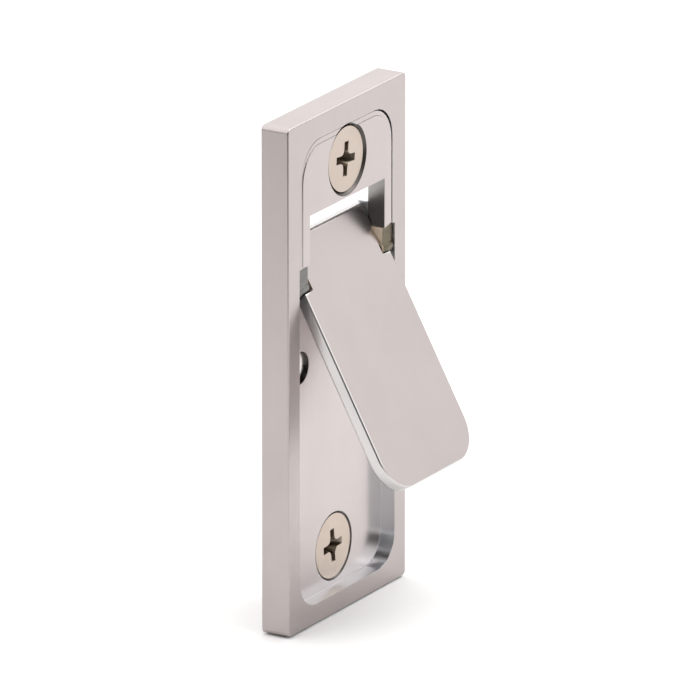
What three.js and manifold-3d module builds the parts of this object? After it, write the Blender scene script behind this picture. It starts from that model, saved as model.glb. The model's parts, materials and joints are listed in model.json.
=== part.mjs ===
// Toggle bolt latch: a flush plate whose lever tips about a pin when its tongue is pushed through a window.
// Millimetres, +X to the right and +Z up. The front faces -Y and the back face lies on Y = 0.
// A level is a distance in front of the back face, so a point at a level has Y = -level.
import * as THREE from "three";
import { mergeVertices } from "three/addons/utils/BufferGeometryUtils.js";
import Module from "manifold-3d";

const wasm = await Module();
wasm.setup();

// Plate
const PLATE_WIDTH = 27.7;
const PLATE_HEIGHT = 64;
const PLATE_THICKNESS = 3.8;
const PLATE_CORNER_RADIUS = 0.6;
const PLATE_EDGE_ROUND = 0.3;

// Pocket in the plate's front
const SIDE_RIM = 2.65;
const BOTTOM_RIM = 2.5;
const POCKET_CORNER_RADIUS = 3.9;

// Hinge retainer, an arch that fills the top of the pocket
const TOP_RIM = 3.05;
const RETAINER_THICKNESS = 2.35;
const RETAINER_SIDE_INSET = 0.6;
const RETAINER_CORNER_RADIUS = 4.5;
const RETAINER_GAP = 0.25;
const LAND_STEP = 0.12;
const LAND_TOP_INSET = 0.6;
const LAND_SIDE_INSET = 0.2;
const LEG_WIDTH = 1.85;
const LEG_END_SLANT = 0.35;

// Pivot and what is measured from it
const PIVOT_BELOW_TOP = 21.25;
const WINDOW_TOP_ABOVE_PIVOT = 9.1;
const CHEEK_TOP_ABOVE_PIVOT = 5.85;
const LEG_END_ABOVE_PIVOT = 2.8;
const PIN_RADIUS = 0.55;
const PIN_CLEARANCE = 0.05;
const BARREL_WALL = 0.35;
const BARREL_GAP = 0.15;
const PIN_END_INSET = 0.05;

// Lever
const LEVER_THICKNESS = 1.65;
const LEVER_BELOW_FRONT = 0.2;
const LEVER_BACK_GAP = 0.1;
const PIN_BEHIND_LEVER_FACE = 0.85;
const BLADE_SIDE_GAP = 1.1;
const BLADE_END_ABOVE_SCREW = 8.15;
const BLADE_CORNER_RADIUS = 4.5;
const SHOULDER_BELOW_PIVOT = 0.75;
const TONGUE_SIDE_GAP = 0.15;
const NECK_RELIEF = 0.4;
const EAR_FOOT_ABOVE_PIVOT = 2.6;
const TONGUE_LENGTH = 6.95;
const TONGUE_TOP_ROUND = 0.65;
const LEVER_EDGE_CHAMFER = 0.2;
const REST_OPEN_DEG = 28.3;
const STOP_OPEN_DEG = 30;
const STOP_GAP = 0.03;

// Countersunk screws
const SCREW_END_DISTANCE = 7.35;
const SCREW_LENGTH = 9.5;
const HEAD_RADIUS = 4.05;
const HEAD_LAND = 0.15;
const SHANK_RADIUS = 2.1;
const THREAD_ROOT_RADIUS = 1.5;
const THREAD_PITCH = 1.4;
const TIP_LENGTH = 2.6;
const COUNTERSINK_MARGIN = 0.45;
const COUNTERSINK_HALF_DEG = 41;
const SHANK_CLEARANCE = 0.2;
const UPPER_HEAD_SINK = 0.25;
const LOWER_HEAD_SINK = 0.12;
const RECESS_SPAN = 4.5;
const RECESS_WIDTH = 0.95;
const RECESS_CORE_RADIUS = 1.15;
const RECESS_DEPTH = 1.5;

// Keeper magnets in the pocket floor
const MAGNET_RADIUS = 1.98;
const MAGNET_BACKING = 0.4;
const MAGNET_GAP = 0.12;
const MAGNET_SINK = 0.4;
const MAGNET_FROM_POCKET_SIDE = 3.25;
const MAGNET_ABOVE_CENTRE = 0.2;

// Levels and heights that follow from the sizes above
const POCKET_HALF = PLATE_WIDTH / 2 - SIDE_RIM;
const POCKET_BOTTOM = -PLATE_HEIGHT / 2 + BOTTOM_RIM;
const POCKET_DEPTH = LEVER_BELOW_FRONT + LEVER_THICKNESS + LEVER_BACK_GAP;
const FLOOR_LEVEL = PLATE_THICKNESS - POCKET_DEPTH;
const SEAT_LEVEL = PLATE_THICKNESS - RETAINER_THICKNESS;
const RETAINER_HALF = POCKET_HALF - RETAINER_SIDE_INSET;
const RETAINER_TOP = PLATE_HEIGHT / 2 - TOP_RIM;
const WINDOW_HALF = RETAINER_HALF - LEG_WIDTH;
const PIVOT_HEIGHT = PLATE_HEIGHT / 2 - PIVOT_BELOW_TOP;
const WINDOW_TOP = PIVOT_HEIGHT + WINDOW_TOP_ABOVE_PIVOT;
const CHEEK_TOP = PIVOT_HEIGHT + CHEEK_TOP_ABOVE_PIVOT;
const LEG_END = PIVOT_HEIGHT + LEG_END_ABOVE_PIVOT;
const PIVOT_LEVEL = PLATE_THICKNESS - LEVER_BELOW_FRONT - PIN_BEHIND_LEVER_FACE;
const BARREL_RADIUS = PIN_RADIUS + PIN_CLEARANCE + BARREL_WALL;
const GROOVE_BOTTOM = PIVOT_HEIGHT - BARREL_RADIUS - RETAINER_GAP;
const TONGUE_HALF = WINDOW_HALF - TONGUE_SIDE_GAP;
const NECK_HALF = TONGUE_HALF - NECK_RELIEF;
const LEVER_BACK_OFFSET = LEVER_THICKNESS - PIN_BEHIND_LEVER_FACE;
const UPPER_SCREW_HEIGHT = PLATE_HEIGHT / 2 - SCREW_END_DISTANCE;
const LOWER_SCREW_HEIGHT = -UPPER_SCREW_HEIGHT;
const BLADE_HALF = POCKET_HALF - BLADE_SIDE_GAP;
const BLADE_LENGTH = PIVOT_HEIGHT - SHOULDER_BELOW_PIVOT - LOWER_SCREW_HEIGHT - BLADE_END_ABOVE_SCREW;
const COUNTERSINK_RADIUS = HEAD_RADIUS + COUNTERSINK_MARGIN;
const SCREW_HOLE_RADIUS = SHANK_RADIUS + SHANK_CLEARANCE;
const MAGNET_THICKNESS = FLOOR_LEVEL - MAGNET_SINK - MAGNET_BACKING;
const MAGNET_SIDE_OFFSET = POCKET_HALF - MAGNET_FROM_POCKET_SIDE;
const CONE_SLOPE = Math.tan(THREE.MathUtils.degToRad(COUNTERSINK_HALF_DEG));
const OVERRUN = 1;
const ROUND_SEGMENTS = 40;

// Height of the sill behind the pin, where the tongue's back face comes to rest at the open stop.
function sillHeight() {
  const angle = THREE.MathUtils.degToRad(STOP_OPEN_DEG);
  const reach = (PIVOT_LEVEL - SEAT_LEVEL) * Math.cos(angle) - LEVER_BACK_OFFSET;
  return PIVOT_HEIGHT + reach / Math.sin(angle) - STOP_GAP;
}

// Turns a three.js geometry into a manifold-3d solid.
function solid(geometry) {
  const plain = geometry.clone();
  plain.deleteAttribute("normal");
  plain.deleteAttribute("uv");
  const merged = mergeVertices(plain, 1e-4);
  return new wasm.Manifold(
    new wasm.Mesh({
      numProp: 3,
      vertProperties: merged.attributes.position.array,
      triVerts: new Uint32Array(merged.index.array),
    }),
  );
}

// Turns a manifold-3d solid into a named mesh with its own material.
function mesh(name, made, look) {
  const data = made.getMesh();
  const geometry = new THREE.BufferGeometry();
  geometry.setAttribute("position", new THREE.BufferAttribute(data.vertProperties, 3));
  geometry.setIndex(new THREE.BufferAttribute(data.triVerts, 1));
  geometry.computeVertexNormals();
  const result = new THREE.Mesh(geometry, new THREE.MeshStandardMaterial(look));
  result.name = name;
  return result;
}

// A front-view shape extruded between two levels, with an optional bevel on both ends.
function prism(shape, low, high, bevel = 0, bevelSegments = 1) {
  const geometry = new THREE.ExtrudeGeometry(shape, {
    depth: high - low - 2 * bevel,
    curveSegments: 16,
    bevelEnabled: bevel > 0,
    bevelThickness: bevel,
    bevelSize: bevel,
    bevelOffset: -bevel,
    bevelSegments,
  });
  geometry.translate(0, 0, low + bevel);
  geometry.rotateX(Math.PI / 2);
  return solid(geometry);
}

// A box given by its lowest and highest x, level and height.
function block(x, level, height) {
  const geometry = new THREE.BoxGeometry(x[1] - x[0], level[1] - level[0], height[1] - height[0]);
  geometry.translate((x[0] + x[1]) / 2, -(level[0] + level[1]) / 2, (height[0] + height[1]) / 2);
  return solid(geometry);
}

// A round bar along X, between two x values.
function barAlongX(radius, x, level, height) {
  const geometry = new THREE.CylinderGeometry(radius, radius, x[1] - x[0], ROUND_SEGMENTS);
  geometry.rotateZ(Math.PI / 2);
  geometry.translate((x[0] + x[1]) / 2, -level, height);
  return solid(geometry);
}

// A solid of revolution about an axis through the plate, from points of radius and level.
function turned(points, x, height) {
  const geometry = new THREE.LatheGeometry(
    points.map(([radius, level]) => new THREE.Vector2(radius, level)),
    ROUND_SEGMENTS,
  );
  geometry.rotateX(Math.PI);
  geometry.translate(x, 0, height);
  return solid(geometry);
}

// Rounded rectangle between four sides, with one radius at its bottom corners and one at its top.
function roundedRectangle(left, right, bottom, top, bottomRadius, topRadius) {
  const shape = new THREE.Shape();
  shape.moveTo(left + bottomRadius, bottom);
  shape.lineTo(right - bottomRadius, bottom);
  shape.absarc(right - bottomRadius, bottom + bottomRadius, bottomRadius, -Math.PI / 2, 0);
  shape.lineTo(right, top - topRadius);
  shape.absarc(right - topRadius, top - topRadius, topRadius, 0, Math.PI / 2);
  shape.lineTo(left + topRadius, top);
  shape.absarc(left + topRadius, top - topRadius, topRadius, Math.PI / 2, Math.PI);
  shape.lineTo(left, bottom + bottomRadius);
  shape.absarc(left + bottomRadius, bottom + bottomRadius, bottomRadius, Math.PI, 1.5 * Math.PI);
  return shape;
}

// Arch with two legs round the window, whose ends slant up towards the sides.
function archShape(half, top, cornerRadius) {
  const shape = new THREE.Shape();
  shape.moveTo(WINDOW_HALF, LEG_END);
  shape.lineTo(half, LEG_END + LEG_END_SLANT);
  shape.lineTo(half, top - cornerRadius);
  shape.absarc(half - cornerRadius, top - cornerRadius, cornerRadius, 0, Math.PI / 2);
  shape.lineTo(-half + cornerRadius, top);
  shape.absarc(-half + cornerRadius, top - cornerRadius, cornerRadius, Math.PI / 2, Math.PI);
  shape.lineTo(-half, LEG_END + LEG_END_SLANT);
  shape.lineTo(-WINDOW_HALF, LEG_END);
  shape.lineTo(-WINDOW_HALF, WINDOW_TOP);
  shape.lineTo(WINDOW_HALF, WINDOW_TOP);
  return shape;
}

// Countersunk screw hole that opens at a level and runs out through the back.
function countersink(mouthLevel, height) {
  const coneDepth = (COUNTERSINK_RADIUS - SCREW_HOLE_RADIUS) / CONE_SLOPE;
  const mouth = COUNTERSINK_RADIUS + OVERRUN * CONE_SLOPE;
  return turned(
    [
      [0, -OVERRUN],
      [SCREW_HOLE_RADIUS, -OVERRUN],
      [SCREW_HOLE_RADIUS, mouthLevel - coneDepth],
      [mouth, mouthLevel + OVERRUN],
      [0, mouthLevel + OVERRUN],
    ],
    0,
    height,
  );
}

// Countersink whose mouth runs straight out of the front, for a hole at the foot of the pocket.
function floorCountersink(mouthLevel, height) {
  const throat = COUNTERSINK_RADIUS - mouthLevel * CONE_SLOPE;
  return turned(
    [
      [0, -OVERRUN],
      [throat, -OVERRUN],
      [throat, 0],
      [COUNTERSINK_RADIUS, mouthLevel],
      [COUNTERSINK_RADIUS, mouthLevel + OVERRUN / 2],
      [0, mouthLevel + OVERRUN / 2],
    ],
    0,
    height,
  );
}

function bodyPlate() {
  const half = PLATE_WIDTH / 2;
  const tall = PLATE_HEIGHT / 2;
  const corner = PLATE_CORNER_RADIUS;
  const outline = roundedRectangle(-half, half, -tall, tall, corner, corner);
  const blank = prism(outline, -2 * PLATE_EDGE_ROUND, PLATE_THICKNESS, PLATE_EDGE_ROUND, 3);
  const behind = block([-PLATE_WIDTH, PLATE_WIDTH], [-PLATE_THICKNESS, 0], [-PLATE_HEIGHT, PLATE_HEIGHT]);
  const pocketTop = LEG_END + RETAINER_GAP / 2;
  const pocketOutline = roundedRectangle(
    -POCKET_HALF,
    POCKET_HALF,
    POCKET_BOTTOM,
    pocketTop,
    POCKET_CORNER_RADIUS,
    RETAINER_GAP,
  );
  const front = PLATE_THICKNESS + OVERRUN;
  const across = [-POCKET_HALF, POCKET_HALF];
  const seatOutline = roundedRectangle(
    -RETAINER_HALF - RETAINER_GAP,
    RETAINER_HALF + RETAINER_GAP,
    LEG_END - OVERRUN,
    RETAINER_TOP + RETAINER_GAP,
    RETAINER_GAP,
    RETAINER_CORNER_RADIUS + RETAINER_GAP,
  );
  let made = blank.subtract(behind);
  made = made.subtract(prism(pocketOutline, FLOOR_LEVEL, front));
  made = made.subtract(block(across, [SEAT_LEVEL, PLATE_THICKNESS - OVERRUN], [GROOVE_BOTTOM, pocketTop]));
  made = made.subtract(prism(seatOutline, SEAT_LEVEL, front));
  const throughBack = [-OVERRUN, SEAT_LEVEL + OVERRUN / 2];
  made = made.subtract(block([-WINDOW_HALF, WINDOW_HALF], throughBack, [sillHeight(), WINDOW_TOP]));
  made = made.subtract(block(across, throughBack, [CHEEK_TOP, WINDOW_TOP]));
  made = made.subtract(countersink(PLATE_THICKNESS, UPPER_SCREW_HEIGHT));
  made = made.subtract(floorCountersink(FLOOR_LEVEL, LOWER_SCREW_HEIGHT));
  for (const side of [-1, 1]) {
    const seat = MAGNET_RADIUS + MAGNET_GAP;
    const bottom = MAGNET_BACKING;
    const mouth = FLOOR_LEVEL + OVERRUN / 2;
    const bore = [[0, bottom], [seat, bottom], [seat, mouth], [0, mouth]];
    made = made.subtract(turned(bore, side * MAGNET_SIDE_OFFSET, MAGNET_ABOVE_CENTRE));
  }
  return made;
}

// Knuckle at the end of one leg: a barrel round the pin, on a foot that stands on the seat.
function retainerKnuckle(side) {
  const x = side > 0 ? [WINDOW_HALF, RETAINER_HALF] : [-RETAINER_HALF, -WINDOW_HALF];
  const barrel = barAlongX(BARREL_RADIUS, x, PIVOT_LEVEL, PIVOT_HEIGHT);
  const neck = block(x, [SEAT_LEVEL, PIVOT_LEVEL + BARREL_RADIUS / 2], [PIVOT_HEIGHT, LEG_END + OVERRUN]);
  return barrel.add(neck);
}

function hingeRetainer() {
  const outline = archShape(RETAINER_HALF, RETAINER_TOP, RETAINER_CORNER_RADIUS);
  const landOutline = archShape(
    RETAINER_HALF - LAND_SIDE_INSET,
    RETAINER_TOP - LAND_TOP_INSET,
    RETAINER_CORNER_RADIUS - LAND_SIDE_INSET,
  );
  const reach = RETAINER_HALF + OVERRUN;
  const pinBore = barAlongX(PIN_RADIUS + PIN_CLEARANCE, [-reach, reach], PIVOT_LEVEL, PIVOT_HEIGHT);
  return prism(outline, SEAT_LEVEL, PLATE_THICKNESS - LAND_STEP)
    .add(prism(landOutline, SEAT_LEVEL, PLATE_THICKNESS))
    .add(retainerKnuckle(-1))
    .add(retainerKnuckle(1))
    .subtract(pinBore)
    .subtract(countersink(PLATE_THICKNESS, UPPER_SCREW_HEIGHT));
}

function pivotPin() {
  const half = RETAINER_HALF - PIN_END_INSET;
  return barAlongX(PIN_RADIUS, [-half, half], PIVOT_LEVEL, PIVOT_HEIGHT);
}

// Blade, narrow neck and wider tongue in one outline, measured from the pivot axis.
function leverOutline() {
  const blade = BLADE_HALF;
  const radius = BLADE_CORNER_RADIUS;
  const shoulder = -SHOULDER_BELOW_PIVOT;
  const bottom = shoulder - BLADE_LENGTH;
  const top = shoulder + TONGUE_LENGTH;
  const ear = EAR_FOOT_ABOVE_PIVOT;
  const shape = new THREE.Shape();
  shape.moveTo(-blade + radius, bottom);
  shape.lineTo(blade - radius, bottom);
  shape.absarc(blade - radius, bottom + radius, radius, -Math.PI / 2, 0);
  shape.lineTo(blade, shoulder);
  shape.lineTo(NECK_HALF, shoulder);
  shape.lineTo(NECK_HALF, ear);
  shape.lineTo(TONGUE_HALF, ear + NECK_RELIEF);
  shape.lineTo(TONGUE_HALF, top);
  shape.lineTo(-TONGUE_HALF, top);
  shape.lineTo(-TONGUE_HALF, ear + NECK_RELIEF);
  shape.lineTo(-NECK_HALF, ear);
  shape.lineTo(-NECK_HALF, shoulder);
  shape.lineTo(-blade, shoulder);
  shape.lineTo(-blade, bottom + radius);
  shape.absarc(-blade + radius, bottom + radius, radius, Math.PI, 1.5 * Math.PI);
  return shape;
}

// What is cut away to round the tongue's top front edge.
function tongueRound() {
  const top = TONGUE_LENGTH - SHOULDER_BELOW_PIVOT;
  const centreLevel = PIN_BEHIND_LEVER_FACE - TONGUE_TOP_ROUND;
  const centreHeight = top - TONGUE_TOP_ROUND;
  const x = [-TONGUE_HALF - OVERRUN, TONGUE_HALF + OVERRUN];
  return block(x, [centreLevel, PIN_BEHIND_LEVER_FACE + OVERRUN], [centreHeight, top + OVERRUN]).subtract(
    barAlongX(TONGUE_TOP_ROUND, [x[0] - 1, x[1] + 1], centreLevel, centreHeight),
  );
}

// Lever about its pivot axis, in its closed attitude.
function lever() {
  const reach = BLADE_HALF + OVERRUN;
  let made = prism(leverOutline(), -LEVER_BACK_OFFSET, PIN_BEHIND_LEVER_FACE, LEVER_EDGE_CHAMFER, 2);
  made = made.subtract(barAlongX(PIN_RADIUS + PIN_CLEARANCE, [-reach, reach], 0, 0));
  made = made.subtract(tongueRound());
  for (const side of [-1, 1]) {
    const inner = NECK_HALF + NECK_RELIEF / 2;
    const x = side > 0 ? [inner, reach] : [-reach, -inner];
    made = made.subtract(barAlongX(BARREL_RADIUS + BARREL_GAP, x, 0, 0));
  }
  return made;
}

// Half outline of a screw, from its tip to the top of its head, as radius and level.
function screwProfile(headLevel) {
  const tipLevel = headLevel - SCREW_LENGTH;
  const coneFoot = headLevel - HEAD_LAND - (HEAD_RADIUS - SHANK_RADIUS) / CONE_SLOPE;
  const threadFoot = tipLevel + TIP_LENGTH;
  const turns = Math.floor((coneFoot - threadFoot) / THREAD_PITCH);
  const points = [[0, tipLevel]];
  points.push([THREAD_ROOT_RADIUS * 0.55, tipLevel + TIP_LENGTH * 0.5]);
  points.push([SHANK_RADIUS * 0.75, tipLevel + TIP_LENGTH * 0.6]);
  points.push([THREAD_ROOT_RADIUS * 0.8, tipLevel + TIP_LENGTH * 0.75]);
  for (let turn = 0; turn < turns; turn += 1) {
    const level = threadFoot + turn * THREAD_PITCH;
    points.push([THREAD_ROOT_RADIUS, level]);
    points.push([SHANK_RADIUS, level + THREAD_PITCH * 0.45]);
    points.push([SHANK_RADIUS, level + THREAD_PITCH * 0.55]);
    points.push([THREAD_ROOT_RADIUS, level + THREAD_PITCH * 0.95]);
  }
  points.push([SHANK_RADIUS, coneFoot]);
  points.push([HEAD_RADIUS, headLevel - HEAD_LAND]);
  points.push([HEAD_RADIUS, headLevel]);
  points.push([0, headLevel]);
  return points;
}

// Countersunk screw with a cross recess, its head at a level.
function screw(headLevel, height) {
  const bottom = headLevel - RECESS_DEPTH;
  const levels = [headLevel - RECESS_DEPTH * 0.6, headLevel + OVERRUN];
  const long = RECESS_SPAN / 2;
  const half = RECESS_WIDTH / 2;
  const core = [[0, bottom], [half, bottom], [RECESS_CORE_RADIUS, headLevel], [0, headLevel]];
  return turned(screwProfile(headLevel), 0, height)
    .subtract(block([-long, long], levels, [height - half, height + half]))
    .subtract(block([-half, half], levels, [height - long, height + long]))
    .subtract(turned(core, 0, height));
}

function keeperMagnet(side) {
  const top = FLOOR_LEVEL - MAGNET_SINK;
  const bottom = top - MAGNET_THICKNESS;
  const outline = [[0, bottom], [MAGNET_RADIUS, bottom], [MAGNET_RADIUS, top], [0, top]];
  return turned(outline, side * MAGNET_SIDE_OFFSET, MAGNET_ABOVE_CENTRE);
}

const SATIN_CHROME = { color: 0xcfc8c4, roughness: 0.3, metalness: 1 };
const NICKEL = { color: 0xd8c8ba, roughness: 0.35, metalness: 1 };
const BRIGHT_STEEL = { color: 0xc0bdb8, roughness: 0.25, metalness: 1 };

function leverGroup() {
  const group = new THREE.Group();
  group.position.set(0, -PIVOT_LEVEL, PIVOT_HEIGHT);
  group.rotation.x = -THREE.MathUtils.degToRad(REST_OPEN_DEG);
  group.add(mesh("lever", lever(), SATIN_CHROME));
  return group;
}

const latch = new THREE.Group();
latch.add(mesh("body_plate", bodyPlate(), SATIN_CHROME));
latch.add(mesh("hinge_retainer", hingeRetainer(), SATIN_CHROME));
latch.add(leverGroup());
latch.add(mesh("pivot_pin", pivotPin(), BRIGHT_STEEL));
latch.add(mesh("upper_screw", screw(PLATE_THICKNESS - UPPER_HEAD_SINK, UPPER_SCREW_HEIGHT), NICKEL));
latch.add(mesh("lower_screw", screw(FLOOR_LEVEL - LOWER_HEAD_SINK, LOWER_SCREW_HEIGHT), NICKEL));
latch.add(mesh("keeper_magnet_left", keeperMagnet(-1), NICKEL));
latch.add(mesh("keeper_magnet_right", keeperMagnet(1), NICKEL));

export default latch;
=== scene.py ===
"""Toggle bolt latch: a satin chrome flush plate with a pocketed lever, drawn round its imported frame.

Pieces are modelled in millimetres with the front towards -Y, and brought to metres when they are finished.
A level is a distance in front of the plate's back face.

MERGE is how close two points are to count as one, and OVERRUN how far a cutter runs past what it cuts.
MARGIN is how far past a boundary a face's middle has to be before it counts as beyond it, and FACING is the
least share of a face's normal along an axis for the face to look that way. FACE_AREA_ONLY is the weight at
which shading follows the largest face at each corner and no other. FINE_STEPS is the number of steps in a
round corner that shows.
"""

import json
import logging
import math
from dataclasses import dataclass, field
from enum import Enum, IntEnum

import bmesh
import bpy
from bmesh.types import BMesh
from mathutils import Matrix, Vector


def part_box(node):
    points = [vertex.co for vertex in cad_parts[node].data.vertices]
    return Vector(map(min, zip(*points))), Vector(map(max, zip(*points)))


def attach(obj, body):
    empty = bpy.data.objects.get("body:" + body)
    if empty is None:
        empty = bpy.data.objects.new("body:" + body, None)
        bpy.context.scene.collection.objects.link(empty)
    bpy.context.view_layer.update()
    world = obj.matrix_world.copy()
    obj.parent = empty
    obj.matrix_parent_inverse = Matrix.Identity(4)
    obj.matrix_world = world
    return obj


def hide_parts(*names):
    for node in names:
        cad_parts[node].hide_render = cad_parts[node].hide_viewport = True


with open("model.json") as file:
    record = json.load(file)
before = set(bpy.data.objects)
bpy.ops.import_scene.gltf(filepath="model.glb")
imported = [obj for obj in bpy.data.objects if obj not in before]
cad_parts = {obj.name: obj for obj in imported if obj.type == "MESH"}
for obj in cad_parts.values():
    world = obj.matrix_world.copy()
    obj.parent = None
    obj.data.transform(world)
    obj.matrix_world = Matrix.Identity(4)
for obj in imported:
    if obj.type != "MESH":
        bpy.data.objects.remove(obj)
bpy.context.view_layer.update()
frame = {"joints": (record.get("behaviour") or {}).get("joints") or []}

log = logging.getLogger("latch")

MM = 0.001
FULL_TURN = math.tau
SHARP_ANGLE = math.radians(30)
MERGE = 1e-5
OVERRUN = 1
MARGIN = 0.02
FACING = 0.9
FACE_AREA_ONLY = 100
FINE_STEPS = 24
Point = tuple[float, float]
Triple = tuple[float, float, float]


class Operation(Enum):
    """How two solids are combined."""

    JOIN = "UNION"
    CUT = "DIFFERENCE"


# ---------------------------------------------------------------- modelling


def outline_prism(
    points: list[Point],
    rounds: dict[int, float],
    low: float,
    high: float,
    segments: int = 14,
) -> BMesh:
    """Extrude a front-view outline between two levels.

    Args:
        points: Corners of the outline as x and height, in order.
        rounds: Radius to give to a corner, by its place in points.
        low: Lowest level.
        high: Highest level.
        segments: Number of steps in each round.

    Returns:
        A closed bmesh.
    """
    bm = bmesh.new()
    corners = [bm.verts.new((x, -low, z)) for x, z in points]
    bm.faces.new(corners)
    for place, radius in rounds.items():
        bmesh.ops.bevel(
            bm,
            geom=[corners[place]],
            offset=radius * corner_reach(points, place),
            offset_type="OFFSET",
            segments=segments,
            profile=0.5,
            affect="VERTICES",
            material=-1,
        )
    made = bmesh.ops.extrude_face_region(bm, geom=list(bm.faces))
    moved = [item for item in made["geom"] if isinstance(item, bmesh.types.BMVert)]
    bmesh.ops.translate(bm, vec=(0, low - high, 0), verts=moved)
    bmesh.ops.recalc_face_normals(bm, faces=bm.faces)
    return bm


def corner_reach(points: list[Point], place: int) -> float:
    """Distance from a corner to the ends of its round, for a radius of one.

    Args:
        points: Corners of the outline.
        place: Which corner.

    Returns:
        The tangent length as a share of the radius.
    """
    here = Vector(points[place])
    before = (Vector(points[place - 1]) - here).normalized()
    after = (Vector(points[(place + 1) % len(points)]) - here).normalized()
    return 1 / math.tan(before.angle(after) / 2)


def rectangle(x: Point, height: Point) -> list[Point]:
    """Corners of an upright rectangle, from its bottom left corner anticlockwise."""
    return [(x[0], height[0]), (x[1], height[0]), (x[1], height[1]), (x[0], height[1])]


def both_ways(reach: float) -> Point:
    """From as far on one side of the middle to as far on the other."""
    return -reach, reach


def block(x: Point, level: Point, height: Point) -> BMesh:
    """Make a box.

    Args:
        x: Lowest and highest x.
        level: Lowest and highest level.
        height: Lowest and highest height.

    Returns:
        A closed bmesh.
    """
    return outline_prism(rectangle(x, height), {}, *level)


def turned(profile: list[Point], centre: Point, steps: int = 96) -> BMesh:
    """Turn a profile about an axis through the plate.

    Args:
        profile: Points of radius and level, from the axis and back to it.
        centre: The axis as x and height.
        steps: Number of steps round.

    Returns:
        A closed bmesh.
    """
    bm = bmesh.new()
    verts = [bm.verts.new((radius, -level, 0)) for radius, level in profile]
    edges = [bm.edges.new(pair) for pair in zip(verts, verts[1:])]
    bmesh.ops.spin(
        bm,
        geom=verts + edges,
        cent=(0, 0, 0),
        axis=(0, 1, 0),
        angle=FULL_TURN,
        steps=steps,
        use_merge=True,
    )
    bmesh.ops.remove_doubles(bm, verts=bm.verts, dist=MERGE)
    bmesh.ops.translate(bm, vec=(centre[0], 0, centre[1]), verts=bm.verts)
    bmesh.ops.recalc_face_normals(bm, faces=bm.faces)
    return bm


def bar(radius: float, x: Point, level: float, height: float, steps: int = 64) -> BMesh:
    """Make a round bar along X.

    Args:
        radius: Radius of the bar.
        x: Its two ends.
        level: Level of its axis.
        height: Height of its axis.
        steps: Number of steps round.

    Returns:
        A closed bmesh.
    """
    bm = bmesh.new()
    bmesh.ops.create_cone(
        bm,
        cap_ends=True,
        segments=steps,
        radius1=radius,
        radius2=radius,
        depth=x[1] - x[0],
        matrix=Matrix.Translation(((x[0] + x[1]) / 2, -level, height)) @ Matrix.Rotation(math.pi / 2, 4, "Y"),
    )
    bmesh.ops.recalc_face_normals(bm, faces=bm.faces)
    return bm


def everything(bm: BMesh) -> list[bmesh.types.BMVert | bmesh.types.BMEdge | bmesh.types.BMFace]:
    """Every vertex, edge and face of a mesh."""
    return [*bm.verts, *bm.edges, *bm.faces]


def sharp_edges(bm: BMesh, least: float = SHARP_ANGLE) -> list[bmesh.types.BMEdge]:
    """Edges where two faces meet at more than an angle.

    Args:
        bm: The mesh.
        least: The angle, in radians.

    Returns:
        The edges.
    """
    return [edge for edge in bm.edges if len(edge.link_faces) == 2 and edge.calc_face_angle(0) > least]


def put(name: str, data: bpy.types.ID) -> bpy.types.Object:
    """Put a mesh, light or camera into the scene.

    Args:
        name: Name of the object.
        data: What the object shows.

    Returns:
        The object.
    """
    item = bpy.data.objects.new(name, data)
    bpy.context.scene.collection.objects.link(item)
    return item


def shelf(bm: BMesh, name: str = "work") -> bpy.types.Object:
    """Put a bmesh into an object.

    Args:
        bm: The mesh, which is freed.
        name: Name of the object and its mesh.

    Returns:
        The object.
    """
    data = bpy.data.meshes.new(name)
    bm.to_mesh(data)
    bm.free()
    return put(name, data)


class Workpiece:
    """A solid that is being made, held as a mesh object in millimetres.

    Attributes:
        weld: Points closer than this are merged when the solid is finished.
        flat_angle: Faces that meet at less than this become one, in degrees.
        sliver: Edges shorter than this are removed.
    """

    weld: float = 0.004
    flat_angle: float = 0.4
    sliver: float = 0.002

    def __init__(self, bm: BMesh) -> None:
        """Take over a bmesh as the blank."""
        self.item = shelf(bm)

    def combine(self, bm: BMesh, operation: Operation) -> "Workpiece":
        """Join or cut with another solid.

        Args:
            bm: The other solid, which is used up.
            operation: Whether it is joined or cut away.

        Returns:
            This workpiece.
        """
        tool = shelf(bm)
        step = self.item.modifiers.new("step", "BOOLEAN")
        step.operation = operation.value
        step.solver = "EXACT"
        step.object = tool
        graph = bpy.context.evaluated_depsgraph_get()
        result = bpy.data.meshes.new_from_object(self.item.evaluated_get(graph))
        self.item.modifiers.clear()
        old = self.item.data
        self.item.data = result
        bpy.data.meshes.remove(old)
        spent = tool.data
        bpy.data.objects.remove(tool)
        bpy.data.meshes.remove(spent)
        return self

    def join(self, bm: BMesh) -> "Workpiece":
        """Join another solid."""
        return self.combine(bm, Operation.JOIN)

    def cut(self, bm: BMesh) -> "Workpiece":
        """Cut another solid away."""
        return self.combine(bm, Operation.CUT)

    def finished(self) -> BMesh:
        """Clean the solid and give it back.

        Returns:
            A merged bmesh with its flat faces in one piece.
        """
        bm = bmesh.new()
        bm.from_mesh(self.item.data)
        spent = self.item.data
        bpy.data.objects.remove(self.item)
        bpy.data.meshes.remove(spent)
        bmesh.ops.remove_doubles(bm, verts=bm.verts, dist=self.weld)
        bmesh.ops.dissolve_limit(
            bm,
            angle_limit=math.radians(self.flat_angle),
            use_dissolve_boundaries=False,
            verts=bm.verts,
            edges=bm.edges,
        )
        bmesh.ops.dissolve_degenerate(bm, dist=self.sliver, edges=bm.edges)
        return bm


def soften(bm: BMesh, edges: list[bmesh.types.BMEdge], width: float, segments: int = 2) -> None:
    """Round off edges.

    Args:
        bm: The mesh.
        edges: The edges.
        width: How far the round reaches from the edge.
        segments: Number of steps in the round.
    """
    bmesh.ops.bevel(
        bm,
        geom=edges,
        offset=width,
        offset_type="OFFSET",
        segments=segments,
        profile=0.5,
        affect="EDGES",
        clamp_overlap=False,
        material=-1,
    )


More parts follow.
